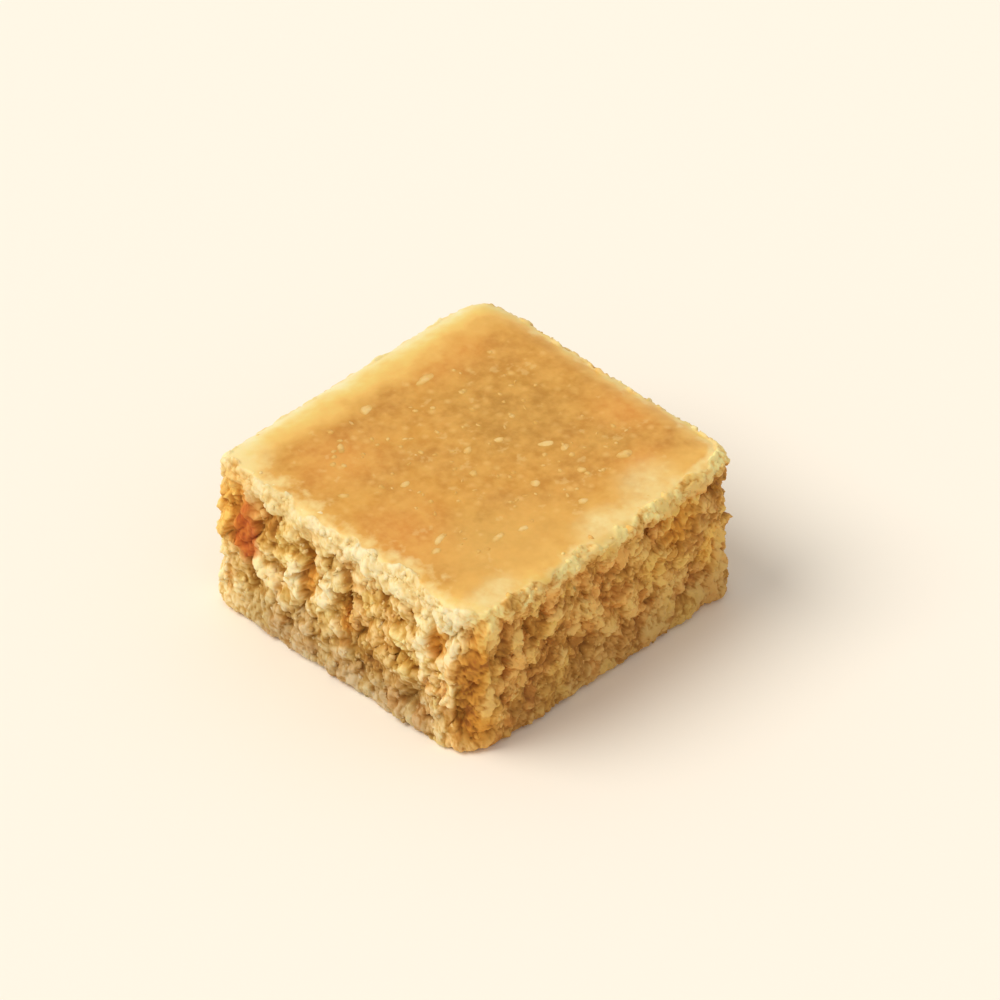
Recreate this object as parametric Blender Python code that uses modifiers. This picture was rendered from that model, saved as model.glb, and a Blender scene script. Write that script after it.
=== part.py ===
"""A square piece of barfi, a sweet of gram flour, sugar and ghee.

It is one slab, cut from a pressed sheet: the top is a smooth skin, the four cut sides are crumbly and
torn, and the base is flat. The origin is the base's centre, X runs along the width, Y along the depth
and Z up. Units are metres. Run it with blender --background --python part.py.
"""

import itertools

import bmesh
import bpy
import numpy as np

# Driving dimensions of the slab, out to its furthest crumbs. A corner is named by its signs in X and Y.
WIDTH = 0.0390
DEPTH = 0.0380
HEIGHT = 0.0185
CORNERS = ((-1, -1), (1, -1), (1, 1), (-1, 1))
CORNER_RADII = (0.0055, 0.0042, 0.0070, 0.0034)
RIM_RADIUS = 0.0014
FOOT_RADIUS = 0.0010
ROUNDING_SEGMENTS = 8

# How far each corner stands from a true box along X and Y, at the rim and at the foot
LEAN_AT_RIM = ((0.0002, -0.0004), (-0.0004, 0.0001), (0.0002, 0.0000), (0.0001, -0.0001))
LEAN_AT_FOOT = ((-0.0004, 0.0003), (0.0002, 0.0005), (0.0000, 0.0000), (-0.0003, -0.0003))

# The skin sags towards the rim, most along the two sides that are soft-edged, and swells faintly
SAG = {"-x": 0.0003, "+x": 0.0018, "-y": 0.0003, "+y": 0.0021}
SAG_REACH = 0.0044
SAG_HEIGHTS = (0.0055, 0.0166)
SWELL_SIZE = 0.0110
SWELL_DEPTH = 0.0003

# The crumb is made of crags, of grains that stand a little upright, and of sand too fine for the solid's
# faces, which takes an even depth away. The crumb is firmer close to the foot and to the rim.
COARSENESS = {"-x": 1.0, "+x": 0.85, "-y": 0.8, "+y": 0.85}
CRAG_SIZE = 0.0025
GRAIN_SIZE = 0.0012
GRAIN_SHARE = 0.85
UPRIGHT = np.array([1.0, 1.0, 0.7])
SAND_DEPTH = 0.0002
SLOW_BEND = 0.0006
QUICK_BEND = 0.0003
FIRM_BELOW_RIM = (0.0012, 0.0030)
FIRM_ABOVE_FOOT = (0.0014, 0.0045)
FIRM_RELIEF = 0.40

# Each crag or grain, in parts of its size: how far it is rounded off, sunk, tilted, cracked away from its
# neighbours and, for the loosest share of them, fallen out
CHUNK_ROUNDED = 0.24
CHUNK_SUNK = 0.20
CHUNK_TILTED = 0.62
CHUNK_CRACKED = 0.10
CHUNK_FALLEN = 0.24
LOOSE_SHARE = 0.30
CHUNK_UNLIKE = 0.3
CRACK_SHARPNESS = 13.0
CRACK_SHARES = (0.95, 0.5)

# The skin breaks off this far in from the outline, along a line that wanders slowly and quickly, and the
# crumb's mean depth is made up for near it, so that the crumb starts level with the skin
BREAK_INSET = 0.0011
BREAK_WIDTH = 0.0003
BREAK_WANDERS = ((0.0045, 0.0005), (0.0013, 0.0006))
LEVEL_REACH = 0.0016
LEVEL_DEPTH = 0.00055
BASE_REACH = 0.0060

# Hollows that stand out: side, place along it, height, half width, half height, depth
HOLLOWS = (
    ("-x", 0.0128, 0.0125, 0.0016, 0.0034, 0.0006),
    ("-x", 0.0096, 0.0142, 0.0013, 0.0018, 0.0008),
    ("-x", 0.0084, 0.0086, 0.0012, 0.0014, 0.0010),
    ("-x", 0.0044, 0.0104, 0.0009, 0.0030, 0.0010),
    ("-x", 0.0048, 0.0056, 0.0016, 0.0008, 0.0007),
    ("-x", -0.0006, 0.0098, 0.0008, 0.0030, 0.0009),
    ("-x", -0.0020, 0.0116, 0.0009, 0.0010, 0.0009),
    ("-x", -0.0027, 0.0073, 0.0010, 0.0024, 0.0008),
    ("-x", -0.0056, 0.0140, 0.0014, 0.0014, 0.0011),
    ("-x", -0.0074, 0.0075, 0.0014, 0.0014, 0.0009),
    ("-x", -0.0100, 0.0032, 0.0013, 0.0012, 0.0006),
    ("-x", -0.0132, 0.0128, 0.0008, 0.0022, 0.0006),
    ("-x", -0.0165, 0.0042, 0.0014, 0.0016, 0.0007),
    ("-y", -0.0140, 0.0103, 0.0012, 0.0020, 0.0009),
    ("-y", -0.0115, 0.0140, 0.0013, 0.0012, 0.0008),
    ("-y", -0.0110, 0.0075, 0.0012, 0.0012, 0.0007),
    ("-y", -0.0045, 0.0142, 0.0009, 0.0018, 0.0007),
    ("-y", 0.0003, 0.0106, 0.0009, 0.0022, 0.0008),
    ("-y", 0.0061, 0.0148, 0.0010, 0.0014, 0.0008),
    ("-y", 0.0060, 0.0066, 0.0011, 0.0011, 0.0007),
    ("-y", 0.0112, 0.0125, 0.0009, 0.0020, 0.0006),
)

# Ridges left standing between them: side, place along it, height, half width, half height
RIDGES = (
    ("-x", 0.0062, 0.0088, 0.0010, 0.0036),
    ("-x", 0.0023, 0.0090, 0.0010, 0.0016),
    ("-x", 0.0014, 0.0108, 0.0010, 0.0016),
    ("-x", 0.0004, 0.0126, 0.0010, 0.0016),
    ("-x", 0.0160, 0.0090, 0.0012, 0.0060),
    ("-x", 0.0130, 0.0122, 0.0012, 0.0044),
    ("-x", -0.0115, 0.0110, 0.0010, 0.0040),
    ("-x", -0.0150, 0.0085, 0.0011, 0.0050),
    ("-y", -0.0174, 0.0110, 0.0012, 0.0070),
    ("-y", -0.0160, 0.0055, 0.0012, 0.0024),
    ("-y", -0.0125, 0.0108, 0.0007, 0.0030),
    ("-y", -0.0025, 0.0110, 0.0008, 0.0030),
    ("-y", 0.0030, 0.0095, 0.0008, 0.0030),
    ("-y", 0.0080, 0.0100, 0.0009, 0.0024),
)
RIDGE_HOLD = 0.85
RIDGE_RISE = 0.0003

# A mark on a side fades round an oval edge, and from this far in from the side
MARK_EDGE = (0.35, 1.25)
MARK_REACH = (0.0025, 0.0045)

FINE_FACE = 0.0003
TRIANGLES = 11600

GOLDEN_CRUMB = (0.66, 0.38, 0.12, 1.0)
CRUMB_ROUGHNESS = 0.6


def cell_numbers(cells, seed):
    """Three repeatable numbers from 0 to 1 for each lattice cell, by mixing the bits of its coordinates."""
    i, j, k = np.moveaxis(cells.astype(np.int64), -1, 0)
    mixed = (i * 73856093) ^ (j * 19349663) ^ (k * 83492791) ^ (seed * 2654435761)
    numbers = []
    for _ in range(3):
        mixed = (mixed ^ (mixed >> 15)) * 2246822519 & 0xFFFFFFFF
        mixed = (mixed ^ (mixed >> 13)) * 3266489917 & 0xFFFFFFFF
        numbers.append((mixed ^ (mixed >> 16)) / 0xFFFFFFFF)
    return np.stack(numbers, axis=-1)


def smooth_step(low, high, values):
    """0 below low, 1 above high and an S-shaped rise between them."""
    t = np.clip((values - low) / (high - low), 0.0, 1.0)
    return t * t * (3.0 - 2.0 * t)


def swell(points, size, seed):
    """A smooth random field from -1 to 1: each lattice corner's number, blended across its cell."""
    scaled = points / size
    base = np.floor(scaled)
    blend = smooth_step(0.0, 1.0, scaled - base)
    total = np.zeros(len(points))
    for corner in itertools.product((0, 1), repeat=3):
        share = np.prod(np.where(corner, blend, 1.0 - blend), axis=1)
        total += share * cell_numbers(base + corner, seed)[:, 0]
    return 2.0 * total - 1.0


def chunks(points, size, seed):
    """Broken chunks packed one to a lattice cell, each sunk, tilted and rounded off in its own way, and
    blended into the next across a narrow crack. For each point: how deep the surface lies there, and
    where the middle of its chunk is."""
    scaled = points / size
    base = np.floor(scaled)
    total = np.full(len(points), 1e-12)
    most, depth = np.zeros((2, len(points)))
    middle = np.zeros((len(points), 3))
    for step in itertools.product((-1, 0, 1), repeat=3):
        cell = base + step
        centre = cell + cell_numbers(cell, seed)
        loose, sunk, _ = cell_numbers(cell, seed + 1).T
        tilt = cell_numbers(cell, seed + 2) - 0.5
        away = scaled - centre
        square = (away ** 2).sum(axis=1)
        share = np.exp(-CRACK_SHARPNESS * (square + CHUNK_UNLIKE * sunk ** 2))
        fallen = CHUNK_FALLEN * smooth_step(1.0 - LOOSE_SHARE, 1.0, loose)
        slope = CHUNK_TILTED * (away * tilt).sum(axis=1)
        total += share
        most = np.maximum(most, share)
        depth += share * (CHUNK_SUNK * sunk + fallen + CHUNK_ROUNDED * square + slope)
        middle += share[:, None] * centre
    crack = CHUNK_CRACKED * smooth_step(*CRACK_SHARES, most / total)
    return size * (depth / total + crack), size * middle / total[:, None]


def by_side(values, directions):
    """A value named for each of the four sides, blended between them by the outward direction."""
    x, y = directions[:, 0], directions[:, 1]
    along_x = np.where(x < 0, values["-x"], values["+x"])
    along_y = np.where(y < 0, values["-y"], values["+y"])
    return (along_x * x * x + along_y * y * y) / (x * x + y * y + 1e-9)


def mark(points, side, along, height, half_width, half_height):
    """1 in the middle of a mark on one side of the slab, falling to 0 round its oval edge."""
    axis = "xy".index(side[1])
    sign = 1.0 if side[0] == "+" else -1.0
    across = (points[:, 1 - axis] - along) / half_width
    up = (points[:, 2] - height) / half_height
    inside = (WIDTH, DEPTH)[axis] / 2 - sign * points[:, axis]
    oval = 1.0 - smooth_step(*MARK_EDGE, np.hypot(across, up))
    return oval * (1.0 - smooth_step(*MARK_REACH, inside))


def bend(points):
    """Points pushed about by a slow and a quicker wander, so that no chunk keeps a straight edge."""
    slow = np.stack([swell(points, CRAG_SIZE, seed) for seed in (11, 12, 13)], axis=1)
    quick = np.stack([swell(points, GRAIN_SIZE / 2, seed) for seed in (14, 15, 16)], axis=1)
    return points + SLOW_BEND * slow + QUICK_BEND * quick


def crumb_depth(points, directions):
    """How far the crumb has broken away from the clean slab: the crags less the ridges, the grains, the
    sand, and the hollows, each of which takes whole grains away."""
    bent = bend(points)
    crag, _ = chunks(bent, CRAG_SIZE, 21)
    grain, middle = chunks(bent * UPRIGHT, GRAIN_SIZE, 31)
    middle = middle / UPRIGHT
    ridge = np.clip(sum(mark(middle, *place) for place in RIDGES), 0.0, 1.0)
    crag = crag * (1.0 - RIDGE_HOLD * ridge) - RIDGE_RISE * ridge
    above_foot = smooth_step(*FIRM_ABOVE_FOOT, points[:, 2])
    below_rim = smooth_step(*FIRM_BELOW_RIM, HEIGHT - points[:, 2])
    relief = FIRM_RELIEF + (1.0 - FIRM_RELIEF) * above_foot * below_rim
    rough = relief * by_side(COARSENESS, directions)
    hollow = sum(depth * mark(middle, *place) for *place, depth in HOLLOWS)
    return rough * crag + GRAIN_SHARE * (0.5 + 0.5 * rough) * grain + SAND_DEPTH + hollow


def from_outline(points):
    """How far in from the slab's outline in plan each point lies, and the direction straight out to it:
    along a radius in a corner, and otherwise square to the nearer side."""
    x, y = points[:, 0], points[:, 1]
    quadrants = [(x * across >= 0) & (y * along >= 0) for across, along in CORNERS]
    radius = np.select(quadrants, CORNER_RADII)
    past = abs(points[:, :2]) - (np.array([WIDTH, DEPTH]) / 2 - radius[:, None])
    beyond = np.maximum(past, 0.0)
    past_corner = np.linalg.norm(beyond, axis=1)
    square = np.eye(2)[past.argmax(axis=1)]
    outward = np.where(past_corner[:, None] > 0, beyond / (past_corner[:, None] + 1e-12), square)
    inset = radius - past_corner - np.minimum(past.max(axis=1), 0.0)
    return inset, outward * np.where(points[:, :2] < 0, -1.0, 1.0)


def breaking_directions(points):
    """The direction in which the crumb breaks away at each point: level on the sides and the foot, up on
    the skin, turning from one to the other round the rim, and dying away towards the base's middle."""
    inset, outward = from_outline(points)
    round_rim = np.stack([RIM_RADIUS - inset, points[:, 2] - (HEIGHT - RIM_RADIUS)], axis=1)
    round_rim = np.maximum(round_rim, 0.0)
    level, up = (round_rim / (np.linalg.norm(round_rim, axis=1, keepdims=True) + 1e-12)).T
    level = np.where(points[:, 2] > HEIGHT / 2, level, smooth_step(BASE_REACH, FOOT_RADIUS, inset))
    return np.column_stack([outward * level[:, None], up])


def inside_break(points):
    """How far a point lies inside the ragged line where the skin breaks off, and less than 0 outside it."""
    ragged = sum(reach * swell(points, size, 41) for size, reach in BREAK_WANDERS)
    inset, _ = from_outline(points)
    return np.where(points[:, 2] > HEIGHT / 2, inset + ragged - BREAK_INSET, -LEVEL_REACH)


def sag(points):
    """How far the skin hangs below a flat top: an even curve down to the rim, and a faint swell."""
    x, y, z = points.T
    inward = {"-x": WIDTH / 2 + x, "+x": WIDTH / 2 - x, "-y": DEPTH / 2 + y, "+y": DEPTH / 2 - y}
    drop = np.zeros(len(points))
    for side, distance in inward.items():
        drop = np.hypot(drop, SAG[side] * np.clip(1.0 - distance / SAG_REACH, 0.0, 1.0) ** 2)
    drop += SWELL_DEPTH * (0.5 + 0.5 * swell(points, SWELL_SIZE, 51))
    return drop * smooth_step(*SAG_HEIGHTS, z)


def lean(points):
    """The shift along X and Y at each point, shared out between the eight corners by nearness."""
    x, y, z = points.T
    up = z / HEIGHT
    shift = np.zeros((len(points), 2))
    for (sign_x, sign_y), rim, foot in zip(CORNERS, LEAN_AT_RIM, LEAN_AT_FOOT):
        share = (0.5 + sign_x * x / WIDTH) * (0.5 + sign_y * y / DEPTH)
        shift += np.outer(share * up, rim) + np.outer(share * (1.0 - up), foot)
    return shift


def round_off(bm, edges, radius):
    """Rounds some edges of the slab to a radius."""
    segments = ROUNDING_SEGMENTS
    bmesh.ops.bevel(bm, geom=edges, offset=radius, segments=segments, profile=0.5, affect="EDGES")


def rounded_slab(collection):
    """A box whose upright corners, rim and foot are rounded in turn."""
    bm = bmesh.new()
    bmesh.ops.create_cube(bm, size=1.0)
    bmesh.ops.scale(bm, vec=(WIDTH, DEPTH, HEIGHT), verts=bm.verts)
    bmesh.ops.translate(bm, vec=(0.0, 0.0, HEIGHT / 2), verts=bm.verts)

    def touches(edge, axis, place):
        return all(abs(vertex.co[axis] - place) < FINE_FACE / 2 for vertex in edge.verts)

    for (sign_x, sign_y), radius in zip(CORNERS, CORNER_RADII):
        x, y = sign_x * WIDTH / 2, sign_y * DEPTH / 2
        round_off(bm, [edge for edge in bm.edges if touches(edge, 0, x) and touches(edge, 1, y)], radius)
    for level, radius in ((HEIGHT, RIM_RADIUS), (0.0, FOOT_RADIUS)):
        round_off(bm, [edge for edge in bm.edges if touches(edge, 2, level)], radius)

    mesh = bpy.data.meshes.new("barfi")
    bm.to_mesh(mesh)
    bm.free()
    slab = bpy.data.objects.new("barfi", mesh)
    collection.objects.link(slab)
    return slab


def apply_modifier(slab, modifier):
    """Makes what a modifier shows the slab's own mesh."""
    depsgraph = bpy.context.evaluated_depsgraph_get()
    before = slab.data
    slab.data = bpy.data.meshes.new_from_object(slab.evaluated_get(depsgraph))
    slab.data.name = "barfi"
    slab.modifiers.remove(modifier)
    bpy.data.meshes.remove(before)


def even_faces(slab):
    """The slab again as small even faces, with anything folded over itself healed."""
    remesh = slab.modifiers.new("even faces", "REMESH")
    remesh.mode = "VOXEL"
    remesh.voxel_size = FINE_FACE
    apply_modifier(slab, remesh)


def fewer_faces(slab):
    """The slab with its flatter parts in larger triangles."""
    fewer = slab.modifiers.new("fewer faces", "DECIMATE")
    fewer.ratio = TRIANGLES / (2 * len(slab.data.polygons))
    fewer.use_collapse_triangulate = True
    apply_modifier(slab, fewer)


def crumble(slab):
    """Carves the crumb into the cut sides, then lets the skin sag and the corners lean."""
    mesh = slab.data
    points = np.empty(len(mesh.vertices) * 3)
    mesh.vertices.foreach_get("co", points)
    points = points.reshape(-1, 3)
    directions = breaking_directions(points)
    inside = inside_break(points)
    cut = smooth_step(BREAK_WIDTH / 2, -BREAK_WIDTH / 2, inside)
    level = LEVEL_DEPTH * smooth_step(-LEVEL_REACH, 0.0, inside)
    depth = cut * (crumb_depth(points, directions) - level)
    carved = points - directions * depth[:, None]
    carved[:, 2] -= sag(points)
    carved[:, :2] += lean(points)
    mesh.vertices.foreach_set("co", carved.ravel())
    mesh.update()


def flatten_base(slab):
    """Sets the points of the base on one plane at height 0."""
    for vertex in slab.data.vertices:
        if vertex.co.z < FINE_FACE / 2:
            vertex.co.z = 0.0


def crumb_material():
    """A dry, golden crumb."""
    material = bpy.data.materials.new("golden_crumb")
    material.use_nodes = True
    surface = material.node_tree.nodes["Principled BSDF"]
    surface.inputs["Base Color"].default_value = GOLDEN_CRUMB
    surface.inputs["Roughness"].default_value = CRUMB_ROUGHNESS
    surface.inputs["Metallic"].default_value = 0.0
    material.diffuse_color = GOLDEN_CRUMB
    return material


for old in list(bpy.data.objects):
    bpy.data.objects.remove(old)
pieces = bpy.data.collections.new("barfi")
bpy.context.scene.collection.children.link(pieces)

barfi = rounded_slab(pieces)
even_faces(barfi)
crumble(barfi)
even_faces(barfi)
flatten_base(barfi)
fewer_faces(barfi)
flatten_base(barfi)
barfi.data.materials.append(crumb_material())
barfi.data.shade_smooth()
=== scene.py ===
"""The looks of a square piece of barfi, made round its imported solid: the crumbly slab with its pressed skin,
the crumbs that cling to its cut sides and rim, and the pale bits in its skin. Units are metres.
"""

import itertools

import bpy
import numpy as np
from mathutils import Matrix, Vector


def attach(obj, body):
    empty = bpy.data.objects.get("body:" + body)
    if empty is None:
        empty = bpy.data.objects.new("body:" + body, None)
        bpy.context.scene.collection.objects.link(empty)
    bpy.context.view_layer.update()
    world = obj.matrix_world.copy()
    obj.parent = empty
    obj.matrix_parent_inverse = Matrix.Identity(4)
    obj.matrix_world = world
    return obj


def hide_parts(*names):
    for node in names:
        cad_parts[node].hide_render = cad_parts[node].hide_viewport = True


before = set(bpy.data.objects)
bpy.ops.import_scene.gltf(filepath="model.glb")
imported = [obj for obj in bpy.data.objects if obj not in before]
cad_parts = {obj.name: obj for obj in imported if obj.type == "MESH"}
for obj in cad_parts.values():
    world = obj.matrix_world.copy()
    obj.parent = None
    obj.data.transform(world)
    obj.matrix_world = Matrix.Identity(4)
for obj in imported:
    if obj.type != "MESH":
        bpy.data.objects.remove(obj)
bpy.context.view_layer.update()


# The slab. A barfi is one mass of gram flour, sugar and ghee, pressed in a tin and cut into squares. Its
# top sets to a smooth satin skin, its four cut sides tear into crags, grains and hollows, and its base is
# flat. It stands where its solid stands, on the same named sizes, with finer grains in its crumb.
WIDTH = 0.0390
DEPTH = 0.0380
HEIGHT = 0.0185
CORNERS = ((-1, -1), (1, -1), (1, 1), (-1, 1))
CORNER_RADII = (0.0055, 0.0042, 0.0070, 0.0034)
RIM_RADIUS = 0.0014
FOOT_RADIUS = 0.0010
LEAN_AT_RIM = ((0.0002, -0.0004), (-0.0004, 0.0001), (0.0002, 0.0000), (0.0001, -0.0001))
LEAN_AT_FOOT = ((-0.0004, 0.0003), (0.0002, 0.0005), (0.0000, 0.0000), (-0.0003, -0.0003))

# Four values for the sides stand in the order -X, +X, -Y, +Y. A random field is written as how far it swings
# to both sides of 0, how broad its waves are, and its seed
SAG = (0.0003, 0.0018, 0.0003, 0.0021)
SAG_REACH = 0.0044
SAG_HEIGHTS = (0.0055, 0.0166)
SWELL = (0.5, 0.0110, 51)
SWELL_DEPTH = 0.0003

# The crumb is made of crags, of grains that stand a little upright, and of sand, each with its size and seed.
# It is firmer close to the foot and to the rim, where a steady part of the grains stays as deep as elsewhere
COARSENESS = (1.0, 0.85, 0.8, 0.85)
CRAGS = (0.0025, 21)
GRAINS = (0.0012, 31)
SAND = (0.00060, 61)
UPRIGHT = np.array([1.0, 1.0, 0.7])
GRAIN_SHARE = 0.85
GRAIN_STEADY = 0.5
SAND_SHARE = 0.95
BENDS = ((0.0006, 0.0025, 11), (0.0003, 0.0006, 14))
FIRM_BELOW_RIM = (0.0012, 0.0030)
FIRM_ABOVE_FOOT = (0.0014, 0.0045)
FIRM_RELIEF = 0.40

# Each crag, grain or bit of sand, in parts of its size: how far it is rounded off, sunk, tilted, cracked off
# and, for the loosest share of them, fallen out. Then how unlike their sizes are, how sharp the cracks are,
# at which shares of one chunk a crack starts and is full, and a share as good as none
CHUNK_ROUNDED = 0.24
CHUNK_SUNK = 0.20
CHUNK_TILTED = 0.62
CHUNK_CRACKED = 0.10
CHUNK_FALLEN = 0.24
LOOSE_SHARE = 0.30
CHUNK_UNLIKE = 0.3
CRACK_SHARPNESS = 13.0
CRACK_SHARES = (0.95, 0.5)
LEAST_SHARE = 1e-12

# The skin breaks off this far in from the outline, along a line that wanders slowly and quickly, and the
# crumb's mean depth is made up for near it, so that the crumb starts level with the skin
BREAK_INSET = 0.0011
BREAK_WIDTH = 0.0003
BREAK_WANDERS = ((0.0005, 0.0045, 41), (0.0006, 0.0013, 41))
LEVEL_REACH = 0.0016
LEVEL_DEPTH = 0.00055

# Hollows that stand out: side, place along it, height, half width, half height, depth
HOLLOWS = (
    ("-x", 0.0128, 0.0125, 0.0016, 0.0034, 0.0006),
    ("-x", 0.0096, 0.0142, 0.0013, 0.0018, 0.0008),
    ("-x", 0.0084, 0.0086, 0.0012, 0.0014, 0.0010),
    ("-x", 0.0044, 0.0104, 0.0009, 0.0030, 0.0010),
    ("-x", 0.0048, 0.0056, 0.0016, 0.0008, 0.0007),
    ("-x", -0.0006, 0.0098, 0.0008, 0.0030, 0.0009),
    ("-x", -0.0020, 0.0116, 0.0009, 0.0010, 0.0009),
    ("-x", -0.0027, 0.0073, 0.0010, 0.0024, 0.0008),
    ("-x", -0.0056, 0.0140, 0.0014, 0.0014, 0.0011),
    ("-x", -0.0074, 0.0075, 0.0014, 0.0014, 0.0009),
    ("-x", -0.0100, 0.0032, 0.0013, 0.0012, 0.0006),
    ("-x", -0.0132, 0.0128, 0.0008, 0.0022, 0.0006),
    ("-x", -0.0165, 0.0042, 0.0014, 0.0016, 0.0007),
    ("-y", -0.0140, 0.0103, 0.0012, 0.0020, 0.0009),
    ("-y", -0.0115, 0.0140, 0.0013, 0.0012, 0.0008),
    ("-y", -0.0110, 0.0075, 0.0012, 0.0012, 0.0007),
    ("-y", -0.0045, 0.0142, 0.0009, 0.0018, 0.0007),
    ("-y", 0.0003, 0.0106, 0.0009, 0.0022, 0.0008),
    ("-y", 0.0061, 0.0148, 0.0010, 0.0014, 0.0008),
    ("-y", 0.0060, 0.0066, 0.0011, 0.0011, 0.0007),
    ("-y", 0.0112, 0.0125, 0.0009, 0.0020, 0.0006),
)

# Ridges left standing between them: side, place along it, height, half width, half height
RIDGES = (
    ("-x", 0.0062, 0.0088, 0.0010, 0.0036),
    ("-x", 0.0023, 0.0090, 0.0010, 0.0016),
    ("-x", 0.0014, 0.0108, 0.0010, 0.0016),
    ("-x", 0.0004, 0.0126, 0.0010, 0.0016),
    ("-x", 0.0160, 0.0090, 0.0012, 0.0060),
    ("-x", 0.0130, 0.0122, 0.0012, 0.0044),
    ("-x", -0.0115, 0.0110, 0.0010, 0.0040),
    ("-x", -0.0150, 0.0085, 0.0011, 0.0050),
    ("-y", -0.0174, 0.0110, 0.0012, 0.0070),
    ("-y", -0.0160, 0.0055, 0.0012, 0.0024),
    ("-y", -0.0125, 0.0108, 0.0007, 0.0030),
    ("-y", -0.0025, 0.0110, 0.0008, 0.0030),
    ("-y", 0.0030, 0.0095, 0.0008, 0.0030),
    ("-y", 0.0080, 0.0100, 0.0009, 0.0024),
)
RIDGE_HOLD = 0.85
RIDGE_RISE = 0.0003

# Where syrup has browned the crumb to a red orange, written as the ridges are
STAINS = (
    ("-x", 0.0131, 0.0119, 0.0015, 0.0051),
    ("-x", 0.0133, 0.0104, 0.0019, 0.0030),
)

# Where the crumb glows a yellower orange, written as the ridges are
GLOWS = (
    ("-x", 0.0148, 0.0132, 0.0040, 0.0060),
    ("-x", 0.0044, 0.0104, 0.0010, 0.0028),
    ("-x", -0.0006, 0.0080, 0.0010, 0.0026),
    ("-x", -0.0132, 0.0128, 0.0010, 0.0026),
    ("-y", -0.0176, 0.0110, 0.0013, 0.0070),
    ("-y", -0.0170, 0.0035, 0.0018, 0.0024),
    ("-y", 0.0100, 0.0134, 0.0028, 0.0030),
    ("-y", 0.0145, 0.0080, 0.0016, 0.0030),
)

# Where the crumb is paler than round it, written as the ridges are. It is partly the crumb's own cream and
# partly a painted highlight on ridges and on the rim where they face the light
CREAMS_AND_HIGHLIGHTS = (
    ("-x", 0.0182, 0.0172, 0.0026, 0.0030),
    ("-x", 0.0176, 0.0060, 0.0016, 0.0060),
    ("-x", 0.0062, 0.0088, 0.0010, 0.0038),
    ("-x", 0.0023, 0.0090, 0.0011, 0.0017),
    ("-x", 0.0014, 0.0108, 0.0011, 0.0017),
    ("-x", 0.0004, 0.0126, 0.0011, 0.0017),
    ("-x", -0.0024, 0.0150, 0.0026, 0.0024),
    ("-x", -0.0115, 0.0110, 0.0008, 0.0034),
    ("-x", -0.0152, 0.0158, 0.0040, 0.0038),
    ("-y", -0.0145, 0.0040, 0.0014, 0.0014),
    ("-y", -0.0165, 0.0182, 0.0022, 0.0016),
    ("-y", -0.0120, 0.0180, 0.0012, 0.0014),
    ("-y", -0.0068, 0.0182, 0.0018, 0.0014),
    ("-y", 0.0024, 0.0184, 0.0030, 0.0012),
    ("-y", 0.0095, 0.0184, 0.0012, 0.0010),
)

# Where the crumb is deeper in tone than round it or, below 0, lighter: side, place along it, height, half
# width, half height, how much. The two at the near corner of -Y are painted shade, where the rounded corner
# turns away from the light
TONES_AND_PAINTED_SHADE = (
    ("-x", -0.0021, 0.0158, 0.0030, 0.0030, -0.14),
    ("-x", -0.0152, 0.0152, 0.0032, 0.0032, -0.20),
    ("-x", 0.0106, 0.0072, 0.0030, 0.0028, -0.12),
    ("-x", -0.0064, 0.0054, 0.0030, 0.0052, 0.18),
    # Painted shade on the near corner's rounding on -Y, where it turns away from the key light
    ("-y", -0.0178, 0.0098, 0.0015, 0.0080, 0.52),
    ("-y", -0.0168, 0.0030, 0.0016, 0.0020, 0.40),
    ("-y", 0.0110, 0.0158, 0.0050, 0.0026, -0.26),
    ("-y", 0.0150, 0.0072, 0.0030, 0.0040, -0.12),
    ("-y", -0.0010, 0.0028, 0.0052, 0.0030, 0.20),
)

# Where the foot keeps its gold instead of dulling, written as the ridges are
GOLDEN_FEET = (
    ("-x", 0.0175, 0.0040, 0.0050, 0.0120),
    ("-x", -0.0175, 0.0040, 0.0050, 0.0100),
    ("-y", -0.0175, 0.0040, 0.0050, 0.0100),
)

# A mark on a side fades round an oval edge, and from this far in from the side. A mark that is only of colour
# follows whole grains by this share
MARK_EDGE = (0.35, 1.25)
MARK_REACH = (0.0025, 0.0045)
MARK_BY_GRAIN = 0.4

# How strongly the stains, the glows and the creams with their painted highlights show, and how much the
# creams lighten
STAINS_SHOW = 0.9
GLOWS_SHOW = 0.85
CREAMS_AND_HIGHLIGHTS_SHOW = 0.8
CREAMS_AND_HIGHLIGHTS_LIGHTEN = 0.14

# The skin pales towards each side from this far in, and by this much at the side itself. This is partly its
# own paler edge and partly a painted sheen where the rounded rim catches the light
PALING = ((0.0036, 0.55), (0.0042, 0.75), (0.0075, 0.50), (0.0080, 1.0))

# How much darker the crumb is for each metre deeper that its crags, grains, sand and hollows lie, and how
# much darker it is in the three kinds of crack, which is painted shade in its recesses and cracks. Then how
# much lighter it is all over
CRAG_DARKENS = (320.0, 380.0, 400.0, 380.0)
GRAIN_DARKENS = 370.0
SAND_DARKENS = 300.0
HOLLOW_DARKENS = (360.0, 300.0, 180.0, 300.0)
CRACKS_DARKEN = (0.22, 0.32, 0.16)
ALL_LIGHTER = (0.00, 0.03, 0.08, 0.03)

# The rim's paler band, partly the crumb's own cream and partly a painted highlight where the rounded rim
# faces up: how far down it reaches, over which part of that it fades, how its edge wanders, how much of it
# gaps take away, where they lie and over which values they open, how much lighter it is than the crumb, and
# how much less its depths and its blotches show
RIM_REACH = (0.0051, 0.0022, 0.0015, 0.0035)
RIM_FADES = (1.0, 0.2)
RIM_WANDER = (0.0012, 0.0026, 42)
RIM_GAPS = (0.30, 0.80, 0.95, 0.5)
GAPS_LIE = (1.0, 0.0030, 44)
GAPS_OPEN = (0.6, -0.5)
RIM_LIGHTENS = (-0.05, 0.10, 0.16, 0.15)
RIM_EVENS = 0.4
RIM_CALMS = 0.5

# How blotched each side is, the fine and the broad blotches, and the turns of the hue
BLOTCHED = (0.6, 1.0, 1.3, 1.0)
FINE_BLOTCHES = (0.30, 0.0021, 43)
BROAD_BLOTCHES = (0.12, 0.0046, 47)
HUES = (0.5, 0.0017, 46)
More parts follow.
